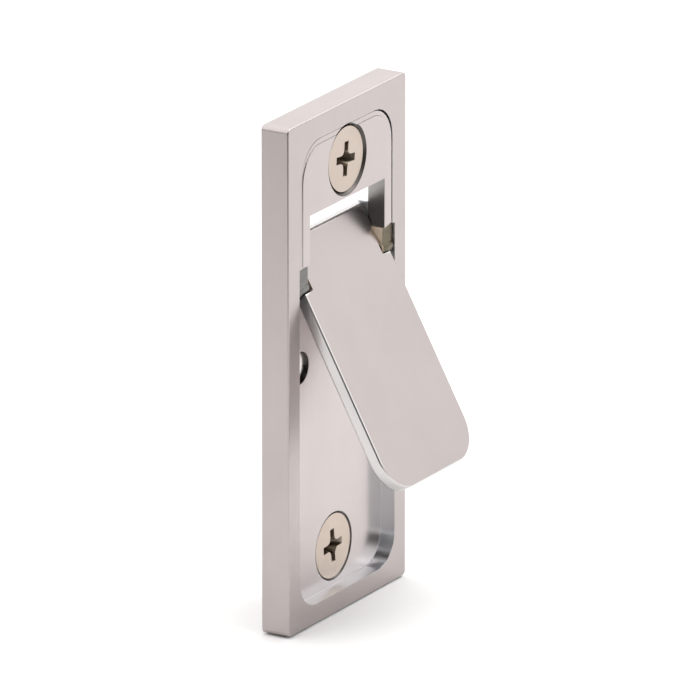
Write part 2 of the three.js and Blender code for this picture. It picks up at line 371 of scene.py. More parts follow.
def deliver(
    bm: BMesh,
    name: str,
    body: str,
    nodes: list[str],
    materials: list[bpy.types.Material],
) -> None:
    """Bring a piece to metres, hand it to the frame and dress it.

    Args:
        bm: The finished mesh in millimetres, which is freed.
        name: Name of the piece.
        body: Body that it rides on.
        nodes: Nodes that it stands for.
        materials: Its materials, in the order of the places that its faces name.
    """
    bmesh.ops.scale(bm, vec=(MM, MM, MM), verts=bm.verts)
    piece = shelf(bm, name)
    piece.data.shade_smooth()
    piece.data.set_sharp_from_angle(angle=SHARP_ANGLE)
    even = piece.modifiers.new("even shading", "WEIGHTED_NORMAL")
    even.mode = "FACE_AREA"
    even.weight = FACE_AREA_ONLY
    even.keep_sharp = True
    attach(piece, body)
    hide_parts(*nodes)
    for material in materials:
        piece.data.materials.append(material)
    log.info("%s: %d faces, rides on %s", name, len(piece.data.polygons), body)


# ---------------------------------------------------------------- finishes


Input = str | int
Value = float | tuple[float, ...] | Vector | bpy.types.NodeSocket


@dataclass
class Wiring:
    """A node tree that is being wired.

    Attributes:
        tree: The tree.
    """

    tree: bpy.types.NodeTree

    def feed(self, node: bpy.types.Node, values: dict[Input, Value]) -> None:
        """Set or connect inputs of a node.

        Args:
            node: The node.
            values: The number or the output that each input takes, by the input's name or place.
        """
        for key, value in values.items():
            if isinstance(value, bpy.types.NodeSocket):
                self.tree.links.new(value, node.inputs[key])
            else:
                node.inputs[key].default_value = value

    def add(self, kind: str, values: dict[Input, Value], **settings: object) -> bpy.types.Node:
        """Place a node.

        Args:
            kind: Its kind, without the leading ShaderNode.
            values: What its inputs take.
            settings: The node's own settings.

        Returns:
            The node.
        """
        node = self.tree.nodes.new(f"ShaderNode{kind}")
        for name, setting in settings.items():
            setattr(node, name, setting)
        self.feed(node, values)
        return node

    def mix(
        self,
        first: bpy.types.NodeSocket,
        second: bpy.types.NodeSocket,
        share: float,
    ) -> bpy.types.NodeSocket:
        """Mix two masks.

        Args:
            first: The first mask.
            second: The second mask.
            share: The second mask's share.

        Returns:
            The mixed mask.
        """
        return self.add("Mix", {"Factor": share, "A": first, "B": second}).outputs["Result"]


class Effect:
    """Shader node groups that several finishes share."""

    def __init__(self) -> None:
        """Build the groups once."""
        self.grain = self.brushed_grain()
        self.cloud = self.plating_cloud()

    def make(self, *finishes: "MetalFinish") -> list[bpy.types.Material]:
        """Make the materials of several finishes, in their order."""
        return [finish.make(self) for finish in finishes]

    @staticmethod
    def start(name: str, numbers: dict[str, float], outputs: list[str]) -> Wiring:
        """Start a group with its sockets.

        Args:
            name: Name of the group.
            numbers: Value of each input beside the place, which is called Vector.
            outputs: Names of the outputs, all numbers.

        Returns:
            The wiring of the group's tree, which holds an input and an output node.
        """
        tree = bpy.data.node_groups.new(name, "ShaderNodeTree")
        tree.interface.new_socket(name="Vector", in_out="INPUT", socket_type="NodeSocketVector")
        for label, value in numbers.items():
            socket = tree.interface.new_socket(name=label, in_out="INPUT", socket_type="NodeSocketFloat")
            socket.default_value = value
        for label in outputs:
            tree.interface.new_socket(name=label, in_out="OUTPUT", socket_type="NodeSocketFloat")
        tree.nodes.new("NodeGroupInput").name = "In"
        tree.nodes.new("NodeGroupOutput").name = "Out"
        return Wiring(tree)

    @classmethod
    def brushed_grain(cls) -> bpy.types.NodeTree:
        """Fine straight strokes with a few broader ones.

        Returns:
            A group from Vector, Fineness and Length to Height and Strokes.
        """
        wiring = cls.start("brushed grain", {"Fineness": 9000, "Length": 500}, ["Height", "Strokes"])
        source = wiring.tree.nodes["In"].outputs
        stretch = wiring.add(
            "CombineXYZ", {"X": source["Fineness"], "Y": source["Fineness"], "Z": source["Length"]}
        )
        scaled = wiring.add(
            "VectorMath", {0: source["Vector"], 1: stretch.outputs["Vector"]}, operation="MULTIPLY"
        ).outputs["Vector"]
        fine = wiring.add("TexNoise", {"Scale": 1.0, "Detail": 4.0, "Roughness": 0.6, "Vector": scaled})
        coarse = wiring.add("TexNoise", {"Scale": 0.22, "Detail": 3.0, "Vector": scaled})
        masks = {"Height": fine.outputs["Fac"], "Strokes": coarse.outputs["Fac"]}
        wiring.feed(wiring.tree.nodes["Out"], masks)
        return wiring.tree

    @classmethod
    def plating_cloud(cls) -> bpy.types.NodeTree:
        """Slow cloudy changes in the plating, and small specks.

        Returns:
            A group from Vector and Size to Cloud and Specks.
        """
        wiring = cls.start("plating cloud", {"Size": 120}, ["Cloud", "Specks"])
        source = wiring.tree.nodes["In"].outputs
        cloud = wiring.add(
            "TexNoise",
            {"Detail": 3.0, "Roughness": 0.55, "Vector": source["Vector"], "Scale": source["Size"]},
        )
        spread = wiring.add("MapRange", {"From Min": 0.3, "From Max": 0.7, "Value": cloud.outputs["Fac"]})
        more = wiring.add("Math", {1: 14.0, 0: source["Size"]}, operation="MULTIPLY")
        speck = wiring.add(
            "TexNoise", {"Detail": 2.0, "Vector": source["Vector"], "Scale": more.outputs["Value"]}
        )
        pick = wiring.add("MapRange", {"From Min": 0.66, "From Max": 0.74, "Value": speck.outputs["Fac"]})
        masks = {"Cloud": spread.outputs["Result"], "Specks": pick.outputs["Result"]}
        wiring.feed(wiring.tree.nodes["Out"], masks)
        return wiring.tree


@dataclass(frozen=True)
class MetalFinish:
    """A plated or ground metal surface.

    Attributes:
        name: Name of the material.
        light: Colour where the plating is clean.
        dark: Colour where it is clouded.
        roughness: Least and most roughness. Both lie on the same side of 0.274, because a finish that
            crosses it shows faint lines there.
        fineness: Strokes across the grain, per metre.
        length: Strokes along the grain, per metre.
        relief: Depth of the grain in millimetres.
        cloud: Size of the clouds, per metre.
        lean: How far the grain leans forward with the piece, in degrees.
        mottled: Whether the relief follows the clouds in place of the strokes.
        metallic: How much of the surface is bare metal.
        grain_in_tone: Share of the grain in the colour, beside the clouds.
        specks_in_roughness: Share of the specks in the roughness, beside the grain.
    """

    name: str
    light: Triple
    dark: Triple
    roughness: Point
    fineness: float = 4200
    length: float = 240
    relief: float = 0.0003
    cloud: float = 130
    lean: float = 0
    mottled: bool = False
    metallic: float = 1.0
    grain_in_tone: float = 0.3
    specks_in_roughness: float = 0.25

    def make(self, effect: Effect) -> bpy.types.Material:
        """Build the material.

        Args:
            effect: The shared node groups.

        Returns:
            The material.
        """
        material = bpy.data.materials.new(self.name)
        material.use_nodes = True
        material.diffuse_color = (*self.light, 1)
        wiring = Wiring(material.node_tree)
        place = wiring.add("TexCoord", {}).outputs["Object"]
        lean = wiring.add("Mapping", {"Rotation": (math.radians(self.lean), 0, 0), "Vector": place})
        grain = wiring.add(
            "Group",
            {"Fineness": self.fineness, "Length": self.length, "Vector": lean.outputs["Vector"]},
            node_tree=effect.grain,
        ).outputs
        cloud = wiring.add("Group", {"Size": self.cloud, "Vector": place}, node_tree=effect.cloud).outputs
        tone = wiring.mix(cloud["Cloud"], grain["Strokes"], self.grain_in_tone)
        ends = {"A": (*self.light, 1), "B": (*self.dark, 1)}
        colour = wiring.add("Mix", {**ends, "Factor": tone}, data_type="RGBA")
        worn = wiring.mix(grain["Strokes"], cloud["Specks"], self.specks_in_roughness)
        least, most = self.roughness
        rough = wiring.add("MapRange", {"To Min": least, "To Max": most, "Value": worn})
        height = cloud["Cloud"] if self.mottled else grain["Height"]
        bump = wiring.add("Bump", {"Strength": 1.0, "Distance": self.relief * MM, "Height": height})
        wiring.feed(
            material.node_tree.nodes["Principled BSDF"],
            {
                "Metallic": self.metallic,
                "Base Color": colour.outputs["Result"],
                "Roughness": rough.outputs["Result"],
                "Normal": bump.outputs["Normal"],
            },
        )
        return material


@dataclass(frozen=True)
class Finishes:
    """The finishes of the latch's pieces. Several of their colours hold painted shade, painted light and
    painted reflections.
    """

    plate: MetalFinish = MetalFinish(
        "pearl chrome plate", (0.445, 0.4, 0.39), (0.41, 0.368, 0.358), (0.28, 0.33)
    )
    # Painted light: the pocket's floor is painted lighter than the plate's outside for the brighter light
    # that it shows. It is also smoother.
    pocket: MetalFinish = MetalFinish(
        "pearl chrome pocket with painted light", (0.515, 0.467, 0.457), (0.48, 0.435, 0.426), (0.2, 0.25)
    )
    walls: MetalFinish = MetalFinish(
        "bright chrome cut",
        (0.7, 0.72, 0.75), (0.64, 0.66, 0.69), (0.278, 0.32),
        length=2600, fineness=2600,
    )
    retainer: MetalFinish = MetalFinish(
        "pearl chrome retainer", (0.475, 0.429, 0.419), (0.44, 0.397, 0.387), (0.278, 0.32)
    )
    lever: MetalFinish = MetalFinish(
        "pearl chrome lever",
        (0.505, 0.456, 0.446),
        (0.475, 0.429, 0.419),
        (0.278, 0.31),
        relief=0.002,
        lean=28.3,
        mottled=True,
    )
    lever_side: MetalFinish = MetalFinish(
        "cut edge of the lever",
        (0.58, 0.56, 0.55), (0.52, 0.5, 0.49), (0.278, 0.3),
        length=2600, fineness=2600,
    )
    screw: MetalFinish = MetalFinish(
        "warm nickel",
        (0.53, 0.445, 0.385), (0.49, 0.405, 0.345), (0.278, 0.3),
        fineness=3200, length=3200, cloud=420,
    )
    upper_screw: MetalFinish = MetalFinish(
        "worn nickel",
        (0.475, 0.4, 0.35), (0.44, 0.366, 0.316), (0.278, 0.3),
        fineness=3200, length=3200, cloud=420,
    )
    # Painted shade: the countersinks' cones and the magnet bores' walls are painted near black for the shade
    # that falls in them.
    countersink: MetalFinish = MetalFinish(
        "countersink painted shade",
        (0.11, 0.1, 0.095), (0.06, 0.055, 0.05), (0.3, 0.4),
        fineness=3000, length=3000,
    )
    # Painted shade: the cross recess is painted darker than the head for the shade inside it.
    recess: MetalFinish = MetalFinish(
        "cross recess painted shade",
        (0.34, 0.29, 0.23), (0.2, 0.17, 0.13), (0.3, 0.45),
        fineness=3000, length=3000, cloud=900,
    )
    # Painted shade and reflection: the right knuckle is painted dark for the shade under the leg, with a warm
    # tint for the tan that it reflects.
    knuckle: MetalFinish = MetalFinish(
        "right knuckle painted shade and reflection",
        (0.2, 0.165, 0.115), (0.08, 0.072, 0.048), (0.3, 0.4),
        fineness=1500, length=3200, cloud=420,
    )
    # Painted reflection: the knuckles' inner sides are painted a light bronze for the warm light that they
    # reflect.
    painted_reflection_knuckle_side: MetalFinish = MetalFinish(
        "knuckle side painted reflection",
        (0.95, 0.79, 0.63), (0.75, 0.6, 0.45), (0.5, 0.6),
        length=3200, cloud=420, metallic=0.4,
    )
    # Painted shade: the left knuckle is a darker, greyer copy of the right one, for the shade that falls on
    # it.
    painted_shade_left_knuckle: MetalFinish = MetalFinish(
        "left knuckle painted shade",
        (0.22, 0.212, 0.203), (0.09, 0.092, 0.09), (0.3, 0.4),
        fineness=1500, length=3200, cloud=420,
    )
    # Painted shade: the retainer's walls and edges are painted darker than its front for the shade and dark
    # reflections on the window's walls.
    window: MetalFinish = MetalFinish(
        "retainer edges painted shade",
        (0.37, 0.36, 0.35), (0.32, 0.31, 0.3), (0.278, 0.3),
        fineness=2600, length=2600,
    )
    pin: MetalFinish = MetalFinish(
        "ground steel",
        (0.46, 0.43, 0.38), (0.38, 0.35, 0.3), (0.2, 0.27),
        fineness=900, length=5000, cloud=600,
    )
    magnet: MetalFinish = MetalFinish(
        "nickel plated magnet",
        (0.78, 0.73, 0.7), (0.72, 0.67, 0.64), (0.2, 0.26),
        fineness=3000, length=3000,
    )


# ---------------------------------------------------------------- pieces


class PlateZone(IntEnum):
    """Where a face of the plate lies, in the order of the plate's materials."""

    OUTSIDE = 0
    FLOOR = 1
    WALL = 2
    # Countersinks and magnet bores, painted dark for the shade in them.
    PAINTED_SHADE = 3


class RetainerZone(IntEnum):
    """Where a face of the retainer lies, in the order of the retainer's materials."""

    FRONT = 0
    EDGE = 1
    RIGHT_KNUCKLE = 2
    # The countersink, painted dark for the shade in it.
    PAINTED_SHADE = 3
    LEFT_KNUCKLE = 4
    KNUCKLE_SIDE = 5


@dataclass
class Latch:
    """Sizes that the pieces share, in millimetres, taken from the frame where it holds them."""

    half_width: float = 0
    half_height: float = 0
    thickness: float = 0
    retainer_half: float = 0
    retainer_top: float = 0
    seat_level: float = 0
    pivot_level: float = 0
    pivot_height: float = 0
    open_angle: float = 0
    window_half: float = 8.75
    window_top: float = 19.85
    cheek_top: float = 16.6
    leg_end: float = 13.55
    leg_slant: float = 0.35
    barrel_radius: float = 0.95
    retainer_gap: float = 0.25
    sill_height: float = 10.75
    screw_height: float = 24.65
    countersink_radius: float = 4.5
    floor_countersink_radius: float = 4.3
    countersink_slope: float = math.tan(math.radians(41))
    screw_hole_radius: float = 2.3
    floor_level: float = 1.85
    cutter_rise: float = 0.5

    def __post_init__(self) -> None:
        """Read the sizes that the frame holds."""
        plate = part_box("body_plate")
        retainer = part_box("hinge_retainer")
        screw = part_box("upper_screw")
        joint = frame["joints"][0]
        self.half_width = plate[1].x / MM
        self.half_height = plate[1].z / MM
        self.thickness = -plate[0].y / MM
        self.retainer_half = retainer[1].x / MM
        self.retainer_top = retainer[1].z / MM
        self.seat_level = -retainer[1].y / MM
        self.pivot_level = -joint["pos_m"][1] / MM
        self.pivot_height = joint["pos_m"][2] / MM
        self.open_angle = -math.radians(joint["range_deg"][0])
        self.screw_height = (screw[0].z + screw[1].z) / 2 / MM

    def arch(self, half: float, top: float) -> list[Point]:
        """Outline of the retainer, with its legs' ends slanting up to the sides.

        Args:
            half: Half its width.
            top: Height of its top.

        Returns:
            Its corners; those at places 2 and 3 are the top right and the top left.
        """
        side_end = self.leg_end + self.leg_slant
        return [
            (self.window_half, self.leg_end),
            (half, side_end),
            (half, top),
            (-half, top),
            (-half, side_end),
            (-self.window_half, self.leg_end),
            (-self.window_half, self.window_top),
            (self.window_half, self.window_top),
        ]

    def countersink(self, mouth: float, height: float) -> BMesh:
        """Countersunk hole that opens at a level and runs out of the back.

        Args:
            mouth: Level of its mouth.
            height: Height of its axis.

        Returns:
            The solid to cut away.
        """
        depth = (self.countersink_radius - self.screw_hole_radius) / self.countersink_slope
        wide = self.countersink_radius + self.countersink_slope * OVERRUN
        hole, foot, top = self.screw_hole_radius, mouth - depth, mouth + OVERRUN
        return turned([(0, -OVERRUN), (hole, -OVERRUN), (hole, foot), (wide, top), (0, top)], (0, height))

    def in_countersink(self, face: bmesh.types.BMFace, mouth: float, height: float) -> bool:
        """Whether a face lies inside a countersunk hole.

        Args:
            face: The face.
            mouth: Level of the hole's mouth.
            height: Height of its axis.

        Returns:
            True for the cone and the bore, and False for the flat round the mouth.
        """
        centre = face.calc_center_median()
        near = math.hypot(centre.x, centre.z - height) < self.countersink_radius - MARGIN
        return near and abs(face.normal.y) < FACING and -mouth < centre.y < -MARGIN

    def floor_countersink(self, mouth: float, height: float) -> BMesh:
        """Countersunk hole through the thin floor, straight in front of its mouth.

        Args:
            mouth: Level of its mouth.
            height: Height of its axis.

        Returns:
            The solid to cut away.
        """
        wide = self.floor_countersink_radius
        throat = wide - mouth * self.countersink_slope
        top = mouth + self.cutter_rise
        cone = [(throat, 0), (wide, mouth), (wide, top)]
        return turned([(0, -OVERRUN), (throat, -OVERRUN), *cone, (0, top)], (0, height))


@dataclass
class BodyPlate:
    """The flush plate with its pocket, seat, window and screw holes."""

    latch: Latch
    corner: float = 0.6
    edge_round: float = 0.2
    side_rim: float = 2.65
    bottom_rim: float = 2.5
    pocket_corner: float = 3.9
    seat_corner: float = 4.2
    seat_gap: float = 0.06
    magnet_radius: float = 2.03
    magnet_side: float = 7.95
    magnet_height: float = 0.2
    magnet_bottom: float = 0.4
    bore_reach: float = 0.06
    groove_depth: float = 1
    through: float = 0.5
    floor_reach: float = 0.1
    floor_share: float = 0.7
    square_angle: float = 60
    edge_break: float = 0.09
    pocket_half: float = field(init=False, default=0)

    def __post_init__(self) -> None:
        """Work out the pocket's width."""
        self.pocket_half = self.latch.half_width - self.side_rim

    def blank(self) -> BMesh:
        """The plate before it is cut, with its corners and its front edges rounded.

        Returns:
            A closed bmesh.
        """
        latch = self.latch
        outline = rectangle(both_ways(latch.half_width), both_ways(latch.half_height))
        bm = outline_prism(outline, dict.fromkeys(range(len(outline)), self.corner), 0, latch.thickness, 8)
        middle = -latch.thickness / 2
        front = [edge for edge in sharp_edges(bm) if all(vert.co.y < middle for vert in edge.verts)]
        soften(bm, front, self.edge_round, 5)
        square = sharp_edges(bm, math.radians(self.square_angle))
        back = [edge for edge in square if all(vert.co.y > middle for vert in edge.verts)]
        soften(bm, back, self.edge_break)
        return bm

    def pocket(self) -> BMesh:
        """The pocket that the blade lies in."""
        latch = self.latch
        top = latch.leg_end + latch.retainer_gap / 2
        outline = rectangle(both_ways(self.pocket_half), (-latch.half_height + self.bottom_rim, top))
        rounds = {0: self.pocket_corner, 1: self.pocket_corner}
        return outline_prism(outline, rounds, latch.floor_level, latch.thickness + OVERRUN, FINE_STEPS)

    def seat(self) -> BMesh:
        """The recess that the retainer is let into."""
        latch = self.latch
        across = both_ways(latch.retainer_half + self.seat_gap)
        outline = rectangle(across, (latch.leg_end - OVERRUN, latch.retainer_top + self.seat_gap))
        rounds = {2: self.seat_corner, 3: self.seat_corner}
        return outline_prism(outline, rounds, latch.seat_level, latch.thickness + OVERRUN, FINE_STEPS)

    def groove(self) -> BMesh:
        """The groove under the barrels."""
        latch = self.latch
        foot = latch.pivot_height - latch.barrel_radius - latch.retainer_gap
        top = latch.leg_end + latch.retainer_gap / 2
        levels = (latch.seat_level, latch.thickness - self.groove_depth)
        return block(both_ways(self.pocket_half), levels, (foot, top))

    def opening(self) -> BMesh:
        """The opening behind the window, between the cheeks, where the tongue swings back."""
        latch = self.latch
        levels = (-OVERRUN, latch.seat_level + self.through)
        return block(both_ways(latch.window_half), levels, (latch.sill_height, latch.window_top))

    def opening_head(self) -> BMesh:
        """The wider head of that opening, above the cheeks."""
        latch = self.latch
        levels = (-OVERRUN, latch.seat_level + self.through)
        return block(both_ways(self.pocket_half), levels, (latch.cheek_top, latch.window_top))

    def magnet_bore(self, side: int) -> BMesh:
        """One bore for a keeper magnet.

        Args:
            side: -1 for the left and 1 for the right.

        Returns:
            The solid to cut away.
        """
        mouth = self.latch.floor_level + self.latch.cutter_rise
        low, wide = self.magnet_bottom, self.magnet_radius
        centre = (side * self.magnet_side, self.magnet_height)
        return turned([(0, low), (wide, low), (wide, mouth), (0, mouth)], centre)

    def in_bore(self, face: bmesh.types.BMFace) -> bool:
        """Whether a face is on the wall of a magnet's bore.

        Args:
            face: The face.

        Returns:
            True for the wall, and False for the floor round its mouth.
        """
        centre = face.calc_center_median()
        reach = math.hypot(abs(centre.x) - self.magnet_side, centre.z - self.magnet_height)
        return reach < self.magnet_radius + self.bore_reach and abs(face.normal.y) < FACING

    def build(self, finishes: Finishes, effect: Effect) -> None:
        """Make the plate and dress it.

        Args:
            finishes: The latch's finishes.
            effect: The shared node groups.
        """
        latch = self.latch
        work = Workpiece(self.blank())
        for tool in (self.pocket(), self.groove(), self.seat(), self.opening(), self.opening_head()):
            work.cut(tool)
        work.cut(latch.countersink(latch.thickness, latch.screw_height))
        work.cut(latch.floor_countersink(latch.floor_level, -latch.screw_height))
        for side in (-1, 1):
            work.cut(self.magnet_bore(side))
        bm = work.finished()
        soften(bm, sharp_edges(bm), self.edge_break)
        self.zone(bm)
        materials = effect.make(finishes.plate, finishes.pocket, finishes.walls, finishes.countersink)
        deliver(bm, "flush_plate", "plate", ["body_plate"], materials)

    def zone(self, bm: BMesh) -> None:
        """Tell the pocket's floor and its cut walls from the outside.

        Args:
            bm: The plate's mesh, whose faces get their material's place.
        """
        latch = self.latch
        for face in bm.faces:
            centre = face.calc_center_median()
            beside = abs(centre.x) > self.pocket_half + MARGIN
            outside = beside or abs(centre.z) > latch.half_height - self.bottom_rim + MARGIN
            ends = centre.y < -latch.thickness + MARGIN or centre.y > -MARGIN
            flat = abs(face.normal.y) > self.floor_share and centre.y < -latch.floor_level + self.floor_reach
            upper = latch.in_countersink(face, latch.thickness, latch.screw_height)
            lower = latch.in_countersink(face, latch.floor_level, -latch.screw_height)
            # The countersinks and the magnet bores get painted shade.
            if upper or lower or self.in_bore(face):
                face.material_index = PlateZone.PAINTED_SHADE
            elif outside or ends:
                face.material_index = PlateZone.OUTSIDE
            # The pocket's floor gets the lighter colour, which is painted light.
            elif flat and centre.z < latch.leg_end:
                face.material_index = PlateZone.FLOOR
            else:
                face.material_index = PlateZone.WALL


@dataclass
class HingeRetainer:
    """The arch that is let into the plate, with a knuckle under each leg."""

    latch: Latch
    corner: float = 4.5
    land_step: float = 0.12
    land_top_inset: float = 0.6
    land_side_inset: float = 0.2
    bore_radius: float = 0.6
    neck_share: float = 0.75
    knuckle_end: float = 11.12
    wing_rise: float = 0.09
    side_reach: float = 0.05
    below_legs: float = 0.1
    past_window: float = 0.01
    forward_share: float = 0.5
    edge_break: float = 0.07

    def knuckle(self, side: int) -> tuple[BMesh, BMesh, BMesh]:
        """Barrel round the pin, the neck that joins it to its leg, and a wing that reaches the pocket's side.

        Args:
            side: -1 for the left and 1 for the right.

        Returns:
            The barrel, the neck and the wing.
        """
        latch = self.latch
        wide = self.across(side, latch.window_half, self.knuckle_end)
        barrel = bar(latch.barrel_radius, wide, latch.pivot_level, latch.pivot_height)
        levels = (latch.seat_level, latch.pivot_level + latch.barrel_radius * self.neck_share)
        leg = self.across(side, latch.window_half, latch.retainer_half)
        neck = block(leg, levels, (latch.pivot_height, latch.leg_end + OVERRUN))
        wing = block(wide, levels, (latch.pivot_height, latch.leg_end + self.wing_rise))
        return barrel, neck, wing

    @staticmethod
    def across(side: int, near: float, far: float) -> Point:
        """Lowest and highest x between two distances from the middle, on one side."""
        return (near, far) if side > 0 else (-far, -near)

    def build(self, finishes: Finishes, effect: Effect) -> None:
        """Make the retainer and dress it.

        Args:
            finishes: The latch's finishes.
            effect: The shared node groups.
        """
        latch = self.latch
        step = latch.thickness - self.land_step
        outline = latch.arch(latch.retainer_half, latch.retainer_top)
        rounds = {2: self.corner, 3: self.corner}
        work = Workpiece(outline_prism(outline, rounds, latch.seat_level, step, FINE_STEPS))
        half, top = latch.retainer_half - self.land_side_inset, latch.retainer_top - self.land_top_inset
        rounds = dict.fromkeys(rounds, self.corner - self.land_side_inset)
        land = outline_prism(latch.arch(half, top), rounds, latch.seat_level, latch.thickness, FINE_STEPS)
        work.join(land)
        for side in (-1, 1):
            for part in self.knuckle(side):
                work.join(part)
        reach = latch.retainer_half + OVERRUN
        work.cut(bar(self.bore_radius, both_ways(reach), latch.pivot_level, latch.pivot_height, 40))
        work.cut(latch.countersink(latch.thickness, latch.screw_height))
        bm = work.finished()
        soften(bm, sharp_edges(bm), self.edge_break)
        bmesh.ops.bisect_plane(
            bm,
            geom=everything(bm),
            plane_co=(0, 0, latch.leg_end),
            plane_no=(0, 0, 1),
        )
        for face in bm.faces:
            centre = face.calc_center_median()
            beside = abs(centre.x) - latch.window_half
            inner_side = abs(face.normal.x) > FACING and beside < self.side_reach
            below = centre.z < latch.leg_end - self.below_legs and beside > -self.past_window
            # The countersink gets painted shade.
            if latch.in_countersink(face, latch.thickness, latch.screw_height):
                face.material_index = RetainerZone.PAINTED_SHADE
            # The knuckles' inner sides get the painted reflection.
            elif below and inner_side:
                face.material_index = RetainerZone.KNUCKLE_SIDE
            # Both knuckles get painted shade. The right one also has a painted warm reflection, and the left
            # one is a darker grey copy.
            elif below:
                right = centre.x > 0
                face.material_index = RetainerZone.RIGHT_KNUCKLE if right else RetainerZone.LEFT_KNUCKLE
            # Faces that do not face forward get the edge colour, which is painted shade.
            else:
                forward = -face.normal.y > self.forward_share
                face.material_index = RetainerZone.FRONT if forward else RetainerZone.EDGE
        materials = effect.make(
            finishes.retainer,
            finishes.window,
            finishes.knuckle,
            finishes.countersink,
            finishes.painted_shade_left_knuckle,
            finishes.painted_reflection_knuckle_side,
        )
        deliver(bm, "arch_retainer", "plate", ["hinge_retainer"], materials)


@dataclass
class Lever:
    """The blade and its tongue, which tip about the pin."""

    latch: Latch
    blade_half: float = 10.1
    blade_length: float = 26.5
    blade_corner: float = 4.5
    shoulder: float = -0.75
    neck_half: float = 8.2
    tongue_half: float = 8.6
    ear_foot: float = 2.6
    tongue_top: float = 6.2
    tongue_round: float = 0.65
    face: float = 0.85
    back: float = 0.8
    bore_radius: float = 0.6
    saddle_radius: float = 1.1
    saddle_gap: float = 0.18
    corner_angle: float = 40
    least_rise: float = 0.1
    edge_round: float = 0.3
    edge_break: float = 0.05

    def outline(self) -> list[Point]:
        """Corners of the blade and tongue about the pivot axis; the blade's lower corners come first."""
        blade, neck, tongue = self.blade_half, self.neck_half, self.tongue_half
        bottom = self.shoulder - self.blade_length
        slope = self.ear_foot + tongue - neck
        right = [
            (blade, self.shoulder),
            (neck, self.shoulder),
            (neck, self.ear_foot),
            (tongue, slope),
            (tongue, self.tongue_top),
        ]
        left = [(-x, height) for x, height in reversed(right)]
        return [(-blade, bottom), (blade, bottom), *right, *left]

    def on_tongue_side(self, edge: bmesh.types.BMEdge) -> bool:
        """Whether an edge of the blank runs up a side of the neck or tongue."""
        upright = abs(edge.verts[0].co.z - edge.verts[1].co.z) > self.least_rise
        side, foot = self.tongue_half + MARGIN, self.shoulder - MARGIN
        return upright and all(abs(vert.co.x) < side and vert.co.z > foot for vert in edge.verts)

    def tongue_tip(self) -> BMesh:
        """What is cut away to round the tongue's top front edge.

        Returns:
            The solid to cut away.
        """
        reach = self.tongue_half + OVERRUN
        level = self.face - self.tongue_round
        height = self.tongue_top - self.tongue_round
        corner = block(both_ways(reach), (level, self.face + OVERRUN), (height, self.tongue_top + OVERRUN))
        core = bar(self.tongue_round, both_ways(reach + OVERRUN), level, height)
        return Workpiece(corner).cut(core).finished()

    def build(self, finishes: Finishes, effect: Effect) -> None:
        """Make the lever in its open attitude and dress it.

        Args:
            finishes: The latch's finishes.
            effect: The shared node groups.
        """
        latch = self.latch
        corners = {0: self.blade_corner, 1: self.blade_corner}
        blank = outline_prism(self.outline(), corners, -self.back, self.face, FINE_STEPS)
        flat = [edge for edge in sharp_edges(blank) if abs(edge.verts[0].co.y - edge.verts[1].co.y) < MERGE]
        soften(blank, [edge for edge in flat if not self.on_tongue_side(edge)], self.edge_round, 4)
        work = Workpiece(blank)
        reach = self.blade_half + OVERRUN
        work.cut(bar(self.bore_radius, both_ways(reach), 0, 0, 40))
        work.cut(self.tongue_tip())
        inner = self.neck_half + self.saddle_gap
        for ends in ((-reach, -inner), (inner, reach)):
            work.cut(bar(self.saddle_radius, ends, 0, 0))
        bm = work.finished()
        soften(bm, sharp_edges(bm, math.radians(self.corner_angle)), self.edge_break)
        for face in bm.faces:
            face.material_index = 0 if abs(face.normal.y) > FACING else 1
        open_turn = Matrix.Rotation(-latch.open_angle, 4, "X")
        bmesh.ops.transform(bm, matrix=open_turn, verts=bm.verts)
        bmesh.ops.translate(bm, vec=(0, -latch.pivot_level, latch.pivot_height), verts=bm.verts)
        materials = effect.make(finishes.lever, finishes.lever_side)
        deliver(bm, "tipping_lever", "lever", ["lever"], materials)


@dataclass
class PivotPin:
    """The ground pin that the lever tips about."""

    latch: Latch
    chamfer: float = 0.12

    def build(self, finishes: Finishes, effect: Effect) -> None:
        """Make the pin with its ends chamfered, and dress it.

        Args:
            finishes: The latch's finishes.
            effect: The shared node groups.
        """
        low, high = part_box("pivot_pin")
        radius = (high.z - low.z) / 2 / MM
        bm = bar(radius, (low.x / MM, high.x / MM), self.latch.pivot_level, self.latch.pivot_height)
        soften(bm, sharp_edges(bm), self.chamfer, 2)
        deliver(bm, "hinge_pin", "plate", ["pivot_pin"], effect.make(finishes.pin))


